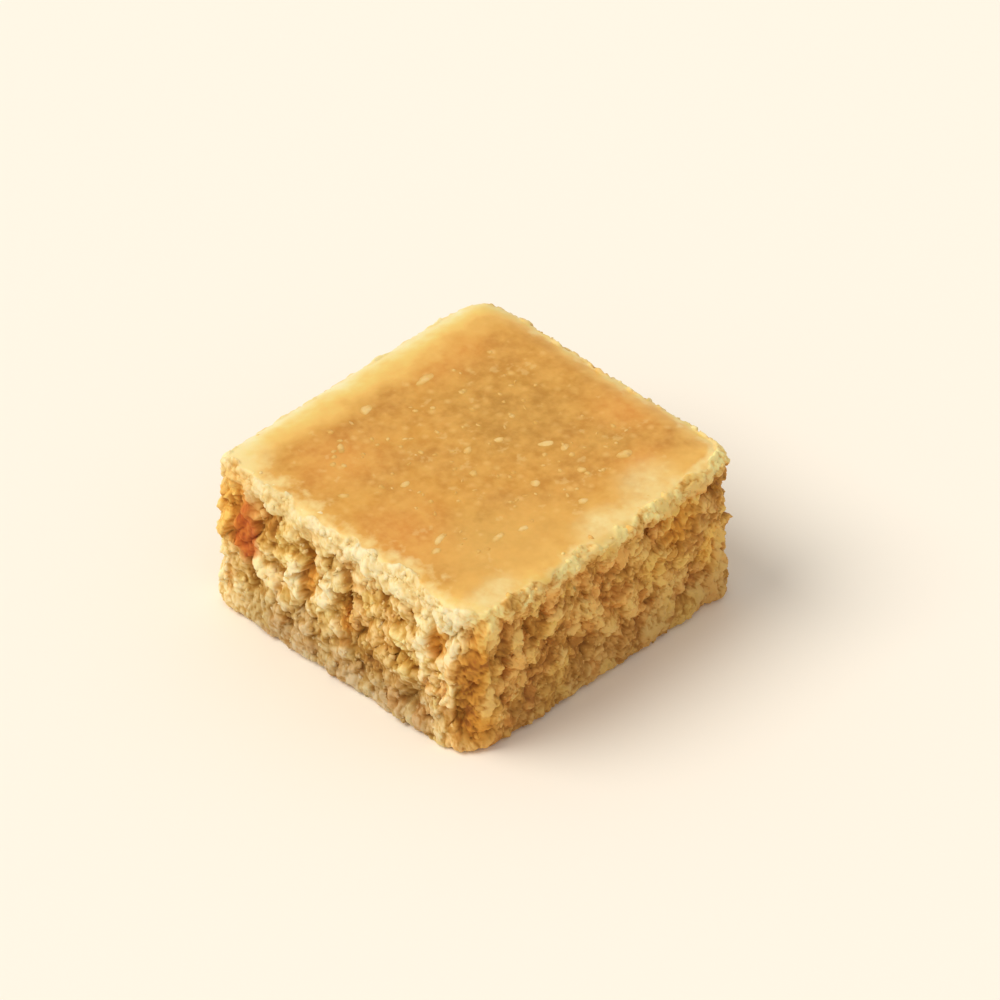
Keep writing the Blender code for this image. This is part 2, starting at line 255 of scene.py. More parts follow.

# How much painted shade each side takes, as more amber colours that stand in for its own shade, and over
# which shares it turns so, how much duller its foot is and between which heights, and how far in the skin
# frays. The last keeps a place that faces no side, such as the middle of the top, from dividing by 0
SHADE_SIDES = (0.0, 0.45, 1.0, 0.40)
SHADE_TURNS = (0.10, 0.70)
FOOT_DULLS = (0.9, 0.5, 0.5, 0.5)
FOOT_HEIGHTS = (0.0092, 0.0015)
FRINGE_REACH = (0.0030, 0.0016, 0.0016, 0.0016)
NO_SIDE = 1e-9

# Soft tints of the skin: place along X and Y, half length along each
ORANGE_TINTS = (
    (-0.0145, -0.0040, 0.0050, 0.0055),
    (0.0080, 0.0130, 0.0050, 0.0040),
    (-0.0110, 0.0080, 0.0050, 0.0045),
    (0.0145, -0.0060, 0.0035, 0.0040),
    (0.0098, -0.0130, 0.0030, 0.0025),
)
OLIVE_TINTS = (
    (0.0065, 0.0010, 0.0080, 0.0090),
    (-0.0085, -0.0085, 0.0030, 0.0030),
    (0.0110, -0.0085, 0.0035, 0.0030),
)
# Painted highlights: pale patches that stand in for the sheen near the -Y rim and the glow at the -X, +Y
# corner
PAINTED_HIGHLIGHT_TINTS = (
    (0.0080, -0.0158, 0.0034, 0.0032),
    (0.0020, -0.0168, 0.0050, 0.0020),
    (-0.0150, -0.0165, 0.0030, 0.0016),
    (-0.0178, 0.0160, 0.0032, 0.0040),
)
# A lighter part of the skin towards the front and -X: partly its own lighter gold, partly a painted sheen
LIGHTER_AND_SHEEN_TINTS = (
    (-0.0090, -0.0130, 0.0100, 0.0060),
)

# Where a tint starts and where it is full, in parts of its half lengths, and how its edge wanders
TINT_EDGE = (1.5, 0.1)
TINT_WANDER = (0.3, 0.004, 71)

# The slab's grid: columns round its outline and rows down each part of its profile. The fringe is a band of
# closer rows inside the rim, and the top's rows crowd towards it
COLUMNS = 760
SIDE_ROWS = 85
RIM_ROWS = 12
FRINGE = 0.0012
FRINGE_ROWS = 7
FOOT_ROWS = 5
TOP_ROWS = 16
TOP_CROWDING = 0.7
BASE_ROWS = 5

# What a lattice cell's coordinates and a seed are multiplied by, how their bits are mixed, and 32 bits of 1
CELL_FACTORS = (73856093, 19349663, 83492791)
SEED_FACTOR = 2654435761
MIXING_STEPS = ((15, 2246822519), (13, 3266489917))
LAST_SHIFT = 16
ALL_BITS = 0xFFFFFFFF


def cell_numbers(cells, seed):
    """Three repeatable numbers from 0 to 1 for each lattice cell, by mixing the bits of its coordinates."""
    i, j, k = np.moveaxis(cells.astype(np.int64) * CELL_FACTORS, -1, 0)
    mixed = i ^ j ^ k ^ (seed * SEED_FACTOR)
    numbers = []
    for _ in range(3):
        for shift, factor in MIXING_STEPS:
            mixed = (mixed ^ (mixed >> shift)) * factor & ALL_BITS
        numbers.append((mixed ^ (mixed >> LAST_SHIFT)) / ALL_BITS)
    return np.stack(numbers, axis=-1)


def smooth_step(low, high, values):
    """0 below low, 1 above high and an S-shaped rise between them."""
    t = np.clip((values - low) / (high - low), 0.0, 1.0)
    return t * t * (3.0 - 2.0 * t)


def swell(points, amount, size, seed):
    """A smooth random field, up to an amount to both sides of 0: each lattice corner's number, blended
    across its cell."""
    scaled = points / size
    base = np.floor(scaled)
    blend = smooth_step(0.0, 1.0, scaled - base)
    total = np.zeros(len(points))
    for corner in itertools.product((0, 1), repeat=3):
        share = np.prod(np.where(corner, blend, 1.0 - blend), axis=1)
        total += share * cell_numbers(base + corner, seed)[:, 0]
    return amount * (2.0 * total - 1.0)


def chunks(points, size, seed):
    """Broken chunks packed one to a lattice cell, each sunk, tilted and rounded off in its own way, and
    blended into the next across a narrow crack. For each point: how deep the surface lies there, how far
    into a crack it is, from 0 to 1, and where the middle of its chunk is."""
    scaled = points / size
    base = np.floor(scaled)
    total = np.full(len(points), LEAST_SHARE)
    most, depth = np.zeros((2, len(points)))
    middle = np.zeros((len(points), 3))
    for step in itertools.product((-1, 0, 1), repeat=3):
        cell = base + step
        centre = cell + cell_numbers(cell, seed)
        loose, sunk, _ = cell_numbers(cell, seed + 1).T
        tilt = cell_numbers(cell, seed + 2) - 0.5
        away = scaled - centre
        square = (away ** 2).sum(axis=1)
        share = np.exp(-CRACK_SHARPNESS * (square + CHUNK_UNLIKE * sunk ** 2))
        fallen = CHUNK_FALLEN * smooth_step(1.0 - LOOSE_SHARE, 1.0, loose)
        slope = CHUNK_TILTED * (away * tilt).sum(axis=1)
        total += share
        most = np.maximum(most, share)
        depth += share * (CHUNK_SUNK * sunk + fallen + CHUNK_ROUNDED * square + slope)
        middle += share[:, None] * centre
    crack = smooth_step(*CRACK_SHARES, most / total)
    return size * (depth / total + CHUNK_CRACKED * crack), crack, size * middle / total[:, None]


def by_side(values, normals):
    """The values of the four sides, blended between them by the outward direction."""
    x, y = normals[:, 0], normals[:, 1]
    along_x = np.where(x < 0, values[0], values[1])
    along_y = np.where(y < 0, values[2], values[3])
    return (along_x * x * x + along_y * y * y) / (x * x + y * y + NO_SIDE)


def mark(points, side, along, height, half_width, half_height):
    """1 in the middle of a mark on one side of the slab, falling to 0 round its oval edge."""
    axis = "xy".index(side[1])
    sign = 1.0 if side[0] == "+" else -1.0
    across = (points[:, 1 - axis] - along) / half_width
    up = (points[:, 2] - height) / half_height
    inside = (WIDTH, DEPTH)[axis] / 2 - sign * points[:, axis]
    oval = 1.0 - smooth_step(*MARK_EDGE, np.hypot(across, up))
    return oval * (1.0 - smooth_step(*MARK_REACH, inside))


def bend(points):
    """Points pushed about by a slow and a quicker wander, so that no chunk keeps a straight edge. Each takes
    its seed along X, and the two numbers after it along Y and Z."""
    bent = points
    for amount, size, seed in BENDS:
        bent = bent + np.stack([swell(points, amount, size, seed + axis) for axis in range(3)], axis=1)
    return bent


def crumb(points, normals):
    """How far the crumb has broken away from the clean slab, how dark that makes it, from 0 to 1, as
    painted shade in its recesses and cracks, and the middle of the grain that each point is on: the crags
    less the ridges, the grains, the sand, and the hollows, each of which takes whole grains away."""
    bent = bend(points)
    crag, crag_crack, _ = chunks(bent, *CRAGS)
    grain, grain_crack, middle = chunks(bent * UPRIGHT, *GRAINS)
    sand, sand_crack, _ = chunks(bent * UPRIGHT, *SAND)
    middle = middle / UPRIGHT
    ridge = np.clip(sum(mark(middle, *place) for place in RIDGES), 0.0, 1.0)
    crag = crag * (1.0 - RIDGE_HOLD * ridge) - RIDGE_RISE * ridge
    above_foot = smooth_step(*FIRM_ABOVE_FOOT, points[:, 2])
    below_rim = smooth_step(*FIRM_BELOW_RIM, HEIGHT - points[:, 2])
    relief = FIRM_RELIEF + (1.0 - FIRM_RELIEF) * above_foot * below_rim
    rough = relief * by_side(COARSENESS, normals)
    grain = GRAIN_SHARE * (GRAIN_STEADY + (1.0 - GRAIN_STEADY) * rough) * grain
    hollow = sum(depth * mark(middle, *place) for *place, depth in HOLLOWS)
    depth = rough * crag + grain + SAND_SHARE * sand + hollow
    # Painted shade: darker the deeper each part lies and in the cracks
    cracks = (rough * crag_crack, grain_crack, sand_crack)
    cracked = sum(share * crack for share, crack in zip(CRACKS_DARKEN, cracks))
    darkness = by_side(CRAG_DARKENS, normals) * rough * crag + by_side(HOLLOW_DARKENS, normals) * hollow
    darkness += GRAIN_DARKENS * grain + SAND_DARKENS * sand + cracked - by_side(ALL_LIGHTER, normals)
    return depth, darkness, middle


def plan_outline(columns):
    """The slab's outline in plan, anticlockwise: for each of so many even steps along it, the centre it
    turns about, its radius there and its outward direction. Between the corners all three run straight."""
    half = np.array([WIDTH, DEPTH]) / 2
    radii = np.array(CORNER_RADII)
    centres = np.array(CORNERS) * (half - radii[:, None])
    starts = np.radians([180.0, 270.0, 360.0, 450.0])
    knots, spots, turns, rounds = [0.0], [centres[0]], [starts[0]], [radii[0]]
    for corner in range(4):
        after = (corner + 1) % 4
        end = starts[corner] + np.pi / 2
        outward = np.array([np.cos(end), np.sin(end)])
        run = centres[after] + radii[after] * outward - centres[corner] - radii[corner] * outward
        knots += [knots[-1] + radii[corner] * np.pi / 2]
        knots += [knots[-1] + np.linalg.norm(run)]
        spots += [centres[corner], centres[after]]
        turns += [end, end]
        rounds += [radii[corner], radii[after]]
    along = np.arange(columns) / columns * knots[-1]
    centre = np.stack([np.interp(along, knots, [spot[axis] for spot in spots]) for axis in (0, 1)], axis=1)
    angle = np.interp(along, knots, turns)
    return centre, np.interp(along, knots, rounds), np.stack([np.cos(angle), np.sin(angle)], axis=1)


def slab_profile():
    """The slab's section from the middle of its top down to the middle of its base: for each row, how far
    in from the outline it lies, how much it is drawn in to the middle, its height, and how far outwards
    and upwards from it the crumb breaks away. The two middles themselves are left out."""
    def rows(inset, drawn, height, outward, upward):
        return np.stack(np.broadcast_arrays(inset, drawn, height, outward, upward), axis=1)

    inner = np.linspace(0.0, 1.0, TOP_ROWS + 1)[1:] ** TOP_CROWDING
    fringe = np.linspace(RIM_RADIUS + FRINGE, RIM_RADIUS, FRINGE_ROWS + 1)[1:]
    rim = np.linspace(0.0, np.pi / 2, RIM_ROWS + 1)[1:]
    rim_inset = RIM_RADIUS * (1.0 - np.sin(rim))
    rim_height = HEIGHT - RIM_RADIUS * (1.0 - np.cos(rim))
    side = np.linspace(HEIGHT - RIM_RADIUS, FOOT_RADIUS, SIDE_ROWS + 1)[1:]
    foot = np.linspace(0.0, np.pi / 2, FOOT_ROWS + 1)[1:]
    foot_inset = FOOT_RADIUS * (1.0 - np.cos(foot))
    foot_height = FOOT_RADIUS * (1.0 - np.sin(foot))
    base = np.linspace(1.0, 0.0, BASE_ROWS + 1)[1:-1]
    return np.concatenate([
        rows(RIM_RADIUS + FRINGE, inner, HEIGHT, 0.0, 1.0),
        rows(fringe, 1.0, HEIGHT, 0.0, 1.0),
        rows(rim_inset, 1.0, rim_height, np.sin(rim), np.cos(rim)),
        rows(0.0, 1.0, side, 1.0, 0.0),
        rows(foot_inset, 1.0, foot_height, 1.0, 0.0),
        rows(FOOT_RADIUS, base, 0.0, base, 0.0),
    ])


def clean_slab():
    """The slab before it is cut: its outline carried along its profile, row by row, as points, the
    directions that its crumb breaks away in, and the level directions straight out of the outline. The
    middles of the top and the base come first and last."""
    centre, radius, outward = plan_outline(COLUMNS)
    inset, drawn, height, out, upward = (column[:, None] for column in slab_profile().T)
    across = centre + (radius - inset)[..., None] * outward
    points = np.dstack([across * drawn[..., None], np.broadcast_to(height, across.shape[:2])])
    breaking = np.dstack([outward * out[..., None], np.broadcast_to(upward, across.shape[:2])])
    level = np.dstack([np.broadcast_to(outward, across.shape), np.zeros(across.shape[:2])])
    top, none = np.array([[0.0, 0.0, 1.0]]), np.zeros((1, 3))
    return (
        np.concatenate([HEIGHT * top, points.reshape(-1, 3), none]),
        np.concatenate([top, breaking.reshape(-1, 3), none]),
        np.concatenate([none, level.reshape(-1, 3), none]),
    )


def inset_from_outline(points):
    """How far in from the slab's outline in plan a point lies: along the radius where it is nearest to a
    corner, and otherwise from the nearer straight side, for which any corner's radius will do."""
    x, y = points[:, 0], points[:, 1]
    quarters = [(x * across > 0) & (y * along > 0) for across, along in CORNERS]
    radius = np.select(quarters, CORNER_RADII, CORNER_RADII[0])
    past_x = abs(x) - (WIDTH / 2 - radius)
    past_y = abs(y) - (DEPTH / 2 - radius)
    past_corner = np.hypot(np.maximum(past_x, 0.0), np.maximum(past_y, 0.0))
    return radius - past_corner - np.minimum(np.maximum(past_x, past_y), 0.0)


def inside_break(points):
    """How far a point lies inside the ragged line where the skin breaks off, and less than 0 outside it."""
    ragged = sum(swell(points, *wander) for wander in BREAK_WANDERS)
    inside = inset_from_outline(points) + ragged - BREAK_INSET
    return np.where(points[:, 2] > HEIGHT / 2, inside, -LEVEL_REACH)


def from_sides(points):
    """How far in from each of the four sides' planes a point lies."""
    x, y = points[:, 0], points[:, 1]
    return WIDTH / 2 + x, WIDTH / 2 - x, DEPTH / 2 + y, DEPTH / 2 - y


def sag(points):
    """How far the skin hangs below a flat top: an even curve down to the rim, and a faint swell."""
    drop = np.zeros(len(points))
    for most, distance in zip(SAG, from_sides(points)):
        drop = np.hypot(drop, most * np.clip(1.0 - distance / SAG_REACH, 0.0, 1.0) ** 2)
    drop += SWELL_DEPTH * (0.5 + swell(points, *SWELL))
    return drop * smooth_step(*SAG_HEIGHTS, points[:, 2])


def lean(points):
    """The shift along X and Y at each point, shared out between the eight corners by nearness."""
    x, y, z = points.T
    up = z / HEIGHT
    shift = np.zeros((len(points), 2))
    for (sign_x, sign_y), rim, foot in zip(CORNERS, LEAN_AT_RIM, LEAN_AT_FOOT):
        share = (0.5 + sign_x * x / WIDTH) * (0.5 + sign_y * y / DEPTH)
        shift += np.outer(share * up, rim) + np.outer(share * (1.0 - up), foot)
    return shift


def settle(points):
    """Points of the clean slab's space, moved as the whole slab sags and leans."""
    moved = points.copy()
    moved[:, 2] -= sag(points)
    moved[:, :2] += lean(points)
    return moved


def ring_faces(rows, columns):
    """Corner numbers of a surface of closed rings between two end points: a fan at each end of it and
    four-sided faces between its rings."""
    here = np.arange(columns)
    after = (here + 1) % columns
    first = 1 + columns * np.arange(rows - 1)[:, None]
    quads = np.stack([first + here, first + columns + here, first + columns + after, first + after], axis=-1)
    last = 1 + columns * (rows - 1)
    top = np.stack([np.zeros_like(here), 1 + here, 1 + after], axis=-1)
    bottom = np.stack([np.full_like(here, last + columns), last + after, last + here], axis=-1)
    return top, quads.reshape(-1, 4), bottom


def mesh_piece(name, points, faces, **values):
    """A smooth-shaded object from points, arrays of faces' corner numbers, and values at each point."""
    mesh = bpy.data.meshes.new(name)
    corners = np.concatenate([part.ravel() for part in faces])
    sizes = np.concatenate([np.full(len(part), part.shape[1]) for part in faces])
    mesh.vertices.add(len(points))
    mesh.vertices.foreach_set("co", points.astype(np.float32).ravel())
    mesh.loops.add(len(corners))
    mesh.loops.foreach_set("vertex_index", corners.astype(np.int32))
    mesh.polygons.add(len(sizes))
    mesh.polygons.foreach_set("loop_start", (np.cumsum(sizes) - sizes).astype(np.int32))
    mesh.update(calc_edges=True)
    mesh.shade_smooth()
    for label, numbers in values.items():
        attribute = mesh.attributes.new(label, "FLOAT", "POINT")
        attribute.data.foreach_set("value", numbers.astype(np.float32))
    piece = bpy.data.objects.new(name, mesh)
    bpy.context.scene.collection.objects.link(piece)
    return piece


def patches(points, places):
    """1 in the middle of each soft oval patch of the skin, falling to 0 round it."""
    x, y = points[:, 0], points[:, 1]
    drift = swell(points, *TINT_WANDER)
    wide = (np.hypot((x - at_x) / long_x, (y - at_y) / long_y) for at_x, at_y, long_x, long_y in places)
    return np.clip(sum(smooth_step(*TINT_EDGE, reach + drift) for reach in wide), 0.0, 1.0)


def paling(points):
    """How far the skin has paled, from 0 to 1, partly as a painted sheen: evenly more towards each side,
    and at a corner of two sides what the first leaves is paled by the second."""
    kept = np.ones(len(points))
    for (reach, most), distance in zip(PALING, from_sides(points)):
        kept *= 1.0 - most * np.clip(1.0 - distance / reach, 0.0, 1.0)
    return 1.0 - kept


clean, facing, outline = clean_slab()
inside = inside_break(clean)
cut = smooth_step(BREAK_WIDTH / 2, -BREAK_WIDTH / 2, inside)
depth, darkness, middle = crumb(clean, facing)
level = LEVEL_DEPTH * smooth_step(-LEVEL_REACH, 0.0, inside)
carved = settle(clean - facing * (cut * (depth - level))[:, None])
near_middle = MARK_BY_GRAIN * middle + (1.0 - MARK_BY_GRAIN) * clean


def of_reach(distance, reaches):
    """A distance at each point, in parts of how far something reaches on the side that the point faces."""
    return distance / np.maximum(by_side(reaches, outline), NO_SIDE)


def marks(places):
    """How strongly any of a list of marks on the sides shows at each point, from 0 to 1."""
    return np.clip(sum(mark(near_middle, *place) for place in places), 0.0, 1.0)


# The rim's paler band: partly the crumb's own cream, partly painted highlight where the rounded rim faces up
below_top = HEIGHT - clean[:, 2] + swell(middle, *RIM_WANDER)
rim = cut * smooth_step(*RIM_FADES, of_reach(below_top, RIM_REACH))
rim *= 1.0 - by_side(RIM_GAPS, outline) * smooth_step(*GAPS_OPEN, swell(middle, *GAPS_LIE))
blotch = swell(middle * UPRIGHT, *FINE_BLOTCHES) + swell(middle, *BROAD_BLOTCHES)
blotch *= by_side(BLOTCHED, outline) * (1.0 - RIM_CALMS * rim)
darkness = (darkness + blotch) * (1.0 - RIM_EVENS * rim) - by_side(RIM_LIGHTENS, outline) * rim
darkness += sum(amount * mark(near_middle, *place) for *place, amount in TONES_AND_PAINTED_SHADE)
cream_and_highlight = marks(CREAMS_AND_HIGHLIGHTS)
foot = by_side(FOOT_DULLS, outline) * smooth_step(*FOOT_HEIGHTS, clean[:, 2])
looks = {
    "darkness": cut * (darkness - CREAMS_AND_HIGHLIGHTS_LIGHTEN * cream_and_highlight),
    "rim": np.maximum(rim, CREAMS_AND_HIGHLIGHTS_SHOW * cream_and_highlight),
    "stain": STAINS_SHOW * marks(STAINS),
    "glow": GLOWS_SHOW * marks(GLOWS),
    "hue": 0.5 + swell(middle * UPRIGHT, *HUES),
    "shade_side": smooth_step(*SHADE_TURNS, by_side(SHADE_SIDES, outline)),
    "foot": foot * (1.0 - marks(GOLDEN_FEET)),
}
slab = mesh_piece(
    "barfi_slab",
    carved,
    ring_faces(len(slab_profile()), COLUMNS),
    cut=cut,
    fringe=1.0 - np.clip(of_reach(inside, FRINGE_REACH), 0.0, 1.0),
    paling=paling(clean),
    orange=patches(clean, ORANGE_TINTS),
    olive=patches(clean, OLIVE_TINTS),
    pale=patches(clean, PAINTED_HIGHLIGHT_TINTS),
    light=patches(clean, LIGHTER_AND_SHEEN_TINTS),
    **looks,
)


def srgb(red, green, blue):
    """A colour as it is seen, from 0 to 255 a channel, as the linear light a shader takes, by the usual
    curve for screens: straight for the darkest values and a power above them."""
    seen = np.array([red, green, blue]) / 255
    linear = np.where(seen <= 0.04045, seen / 12.92, ((seen + 0.055) / 1.055) ** 2.4)
    return (*linear.tolist(), 1.0)


def add_node(tree, kind, inputs, **settings):
    """A shader node with its settings, and its inputs set to values or joined to other nodes' sockets."""
    made = tree.nodes.new(kind)
    for name, value in settings.items():
        setattr(made, name, value)
    for name, value in inputs.items():
        if isinstance(value, bpy.types.NodeSocket):
            tree.links.new(value, made.inputs[name])
        else:
            made.inputs[name].default_value = value
    return made


def attribute(tree, name):
    """The socket of a value kept at the mesh's points."""
    return add_node(tree, "ShaderNodeAttribute", {}, attribute_name=name).outputs["Fac"]


def noise(tree, size, detail=3.0):
    """The socket of a soft noise from 0 to 1, in blotches of a real size."""
    place = add_node(tree, "ShaderNodeTexCoord", {}).outputs["Object"]
    inputs = {"Vector": place, "Scale": 1.0 / size, "Detail": detail}
    return add_node(tree, "ShaderNodeTexNoise", inputs).outputs["Fac"]


def ranged(tree, value, low, high, to_low=0.0, to_high=1.0):
    """The socket of a value carried from one range to another, held at its ends."""
    inputs = {"Value": value, "From Min": low, "From Max": high, "To Min": to_low, "To Max": to_high}
    return add_node(tree, "ShaderNodeMapRange", inputs).outputs["Result"]


def calculated(tree, operation, first, second):
    """The socket of a sum, product or other step on two values, held between 0 and 1."""
    step = add_node(tree, "ShaderNodeMath", {0: first, 1: second}, operation=operation, use_clamp=True)
    return step.outputs["Value"]


def blended(tree, share, first, second, blend_type="MIX"):
    """The socket of two colours blended by a share."""
    inputs = {0: share, 6: first, 7: second}
    blend = add_node(tree, "ShaderNodeMix", inputs, data_type="RGBA", blend_type=blend_type)
    return blend.outputs[2]


def ramp(tree, value, stops):
    """The socket of a colour read from a value by stops of place and colour as it is seen."""
    node = add_node(tree, "ShaderNodeValToRGB", {"Fac": value})
    elements = node.color_ramp.elements
    while len(elements) < len(stops):
        elements.new(1.0)
    for element, (place, colour) in zip(elements, stops):
        element.position = place
        element.color = srgb(*colour)
    return node.outputs["Color"]


# Nearly all values of a soft noise lie between these two
NOISE_RANGE = (0.3, 0.7)

# The crumb's colours from its tips to its depths, darker at depth as painted shade: in the light, and a
# more amber copy as painted shade on a side in its own shade, at the rim of either, where it glows, and
# where syrup has browned it
LIT_CRUMB = (
    (0.05, (250, 230, 176)),
    (0.28, (236, 203, 136)),
    (0.52, (212, 168, 88)),
    (0.78, (186, 134, 44)),
    (1.00, (158, 104, 14)),
)
# Painted shade: the same crumb, more amber and darker, for a side in its own shade
SHADED_CRUMB = (
    (0.05, (238, 194, 110)),
    (0.28, (216, 162, 78)),
    (0.52, (190, 132, 48)),
    (0.78, (168, 111, 26)),
    (1.00, (150, 93, 10)),
)
LIT_RIM = ((0.00, (248, 232, 186)), (0.30, (234, 206, 140)), (0.75, (204, 154, 74)))
# On a side in its own shade the rim is yellower, and lighter as a painted highlight where it faces up
SHADED_RIM = ((0.00, (255, 234, 158)), (0.30, (248, 198, 106)), (0.75, (200, 138, 46)))
GLOWING = ((0.00, (252, 200, 92)), (0.50, (222, 152, 44)), (1.00, (170, 100, 12)))
BROWNED = ((0.00, (212, 115, 14)), (0.45, (190, 85, 3)), (1.00, (150, 60, 0)))

# What the hue and the foot tint these with, the mottle's size and strength, and the grit's size and detail
HUE_TINTS = ((0.20, (255, 253, 226)), (0.50, (255, 255, 255)), (0.80, (255, 238, 218)))
FOOT_TINT = (206, 203, 214)
MOTTLE_SIZE = 0.0012
MOTTLE = 0.13
GRIT = (0.00028, 5.0)


def crumb_group():
    """The crumb's colour and grit, from how deep, near the rim, stained, glowing, shaded and low a point
    is: pale buttery tips over golden sides and amber hollows, darker in the hollows as painted shade, all
    more amber on a side in its own shade as painted shade, creamier at the rim, partly as a painted
    highlight, and duller at the foot."""
    group = bpy.data.node_groups.new("barfi_crumb", "ShaderNodeTree")
    for label in looks:
        group.interface.new_socket(label, in_out="INPUT", socket_type="NodeSocketFloat")
    group.interface.new_socket("colour", in_out="OUTPUT", socket_type="NodeSocketColor")
    group.interface.new_socket("grit", in_out="OUTPUT", socket_type="NodeSocketFloat")
    given = group.nodes.new("NodeGroupInput").outputs
    mottle = ranged(group, noise(group, MOTTLE_SIZE), *NOISE_RANGE, -MOTTLE, MOTTLE)
    deep = calculated(group, "ADD", given["darkness"], mottle)
    # Painted shade: a side in its own shade takes the more amber copy
    colour = blended(group, given["shade_side"], ramp(group, deep, LIT_CRUMB), ramp(group, deep, SHADED_CRUMB))
    colour = blended(group, 1.0, colour, ramp(group, given["hue"], HUE_TINTS), "MULTIPLY")
    at_rim = blended(group, given["shade_side"], ramp(group, deep, LIT_RIM), ramp(group, deep, SHADED_RIM))
    colour = blended(group, given["rim"], colour, at_rim)
    colour = blended(group, given["glow"], colour, ramp(group, deep, GLOWING))
    colour = blended(group, given["stain"], colour, ramp(group, deep, BROWNED))
    off_rim = ranged(group, given["rim"], 0.0, 1.0, 1.0, 0.0)
    dull = calculated(group, "MULTIPLY", given["foot"], off_rim)
    colour = blended(group, dull, colour, srgb(*FOOT_TINT), "MULTIPLY")
    put_out = {"colour": colour, "grit": noise(group, *GRIT)}
    add_node(group, "NodeGroupOutput", put_out)
    return group


# The skin's two golds and their clouds. Then its tints: which places, how much shows, and the colour. Then
# its mottles: size, detail, range, how much shows, and the colour
SKIN_GOLDS = ((194, 130, 38), (216, 153, 54))
CLOUD_SIZE = 0.0050
CLOUD_RANGE = (0.32, 0.68)
SKIN_TINTS = (
    ("olive", 0.75, (186, 131, 38)),
    ("orange", 0.65, (226, 148, 58)),
    # The light tint is partly the skin's own gold and partly a painted sheen
    ("light", 0.45, (238, 190, 98)),
)
SKIN_MOTTLES = (
    (0.0020, 3.0, (0.38, 0.66), 0.50, (236, 178, 84)),
    (0.0008, 4.0, (0.40, 0.70), 0.30, (238, 184, 92)),
)

# Dots too small to be flecks: their spacing, which show and how much, where each starts and is full, colour
DOT_SPACING = 0.0012
DOTS_SHOW = (0.45, 0.9, 0.0, 0.5)
DOT_EDGE = (0.42, 0.10)
DOT_COLOUR = (246, 200, 116)

# The paling, partly a painted sheen: how broadly and how much it wanders, over which values it sets in, and
# its colours
PALING_WANDER_SIZE = 0.0030
PALING_WANDER = 0.12
PALING_SETS_IN = (0.08, 0.40)
PALED = (
    (0.10, (232, 176, 80)),
    (0.38, (240, 188, 94)),
    (0.54, (241, 203, 108)),
    (0.68, (242, 218, 138)),
    (0.86, (244, 232, 178)),
)

# The painted highlight patches and the skin's frayed fringe: how broad and uneven they are, how much shows,
# and the colour
HIGHLIGHT_PATCH_SIZE = 0.0014
HIGHLIGHT_PATCH_UNEVEN = (0.35, 1.0)
HIGHLIGHT_PATCH_COLOUR = (246, 222, 152)
FRAYS = (0.0016, 4.0)
FRAY_UNEVEN = (-0.8, 0.4)
FRAY_SHOWS = (0.2, 1.0, 0.0, 0.8)
FRAY_COLOUR = (244, 216, 144)


def skin_colour(tree):
    """Skin: a satin caramel gold, faintly clouded and flecked, yellower and lighter towards the rim, partly
    as a painted sheen, and with painted highlight patches near the front rim and at a corner.
    """
    def laid_over(colour, shown, share, tint):
        return blended(tree, calculated(tree, "MULTIPLY", shown, share), colour, srgb(*tint))

    cloud = ranged(tree, noise(tree, CLOUD_SIZE), *CLOUD_RANGE)
    colour = blended(tree, cloud, *(srgb(*gold) for gold in SKIN_GOLDS))
    for label, share, tint in SKIN_TINTS:
        colour = laid_over(colour, attribute(tree, label), share, tint)
    for size, detail, values, share, tint in SKIN_MOTTLES:
        colour = laid_over(colour, ranged(tree, noise(tree, size, detail), *values), share, tint)
    place = add_node(tree, "ShaderNodeTexCoord", {}).outputs["Object"]
    dots = add_node(tree, "ShaderNodeTexVoronoi", {"Vector": place, "Scale": 1.0 / DOT_SPACING}).outputs
    chance = ranged(tree, dots["Color"], *DOTS_SHOW)
    colour = laid_over(colour, ranged(tree, dots["Distance"], *DOT_EDGE), chance, DOT_COLOUR)
    wander = ranged(tree, noise(tree, PALING_WANDER_SIZE), *NOISE_RANGE, -PALING_WANDER, PALING_WANDER)
    paled = calculated(tree, "ADD", attribute(tree, "paling"), wander)
    colour = blended(tree, ranged(tree, paled, *PALING_SETS_IN), colour, ramp(tree, paled, PALED))
    # Painted highlight patches near the -Y rim and at a corner, laid over the skin
    highlight_patch = ranged(tree, noise(tree, HIGHLIGHT_PATCH_SIZE), *NOISE_RANGE, *HIGHLIGHT_PATCH_UNEVEN)
    colour = laid_over(colour, attribute(tree, "pale"), highlight_patch, HIGHLIGHT_PATCH_COLOUR)
    torn = ranged(tree, noise(tree, *FRAYS), *NOISE_RANGE, *FRAY_UNEVEN)
    broken = calculated(tree, "ADD", attribute(tree, "fringe"), torn)
    return blended(tree, ranged(tree, broken, *FRAY_SHOWS), colour, srgb(*FRAY_COLOUR))


def placed_crumb(tree, group):
    """The crumb's colours in a material, fed with the values kept at the mesh's points."""
    node = add_node(tree, "ShaderNodeGroup", {}, node_tree=group)
    for label in looks:
        tree.links.new(attribute(tree, label), node.inputs[label])
    return node.outputs


# How much light passes under a surface and how far each channel goes, how rough skin and crumb are, how
# strong and deep their finest relief is, and where the one gives way to the other
PASSING_LIGHT = 0.2
PASSING_CHANNELS = (1.0, 0.6, 0.3)
SLAB_LIGHT_REACH = 0.0006
SKIN_ROUGHNESS = 0.42
CRUMB_ROUGHNESS = 0.8
SKIN_BUMP = 0.12
SKIN_BUMP_SIZE = 0.0012
CRUMB_BUMP = 0.45
SLAB_BUMP_DEPTH = 0.00012
CUT_EDGE = (0.15, 0.85)


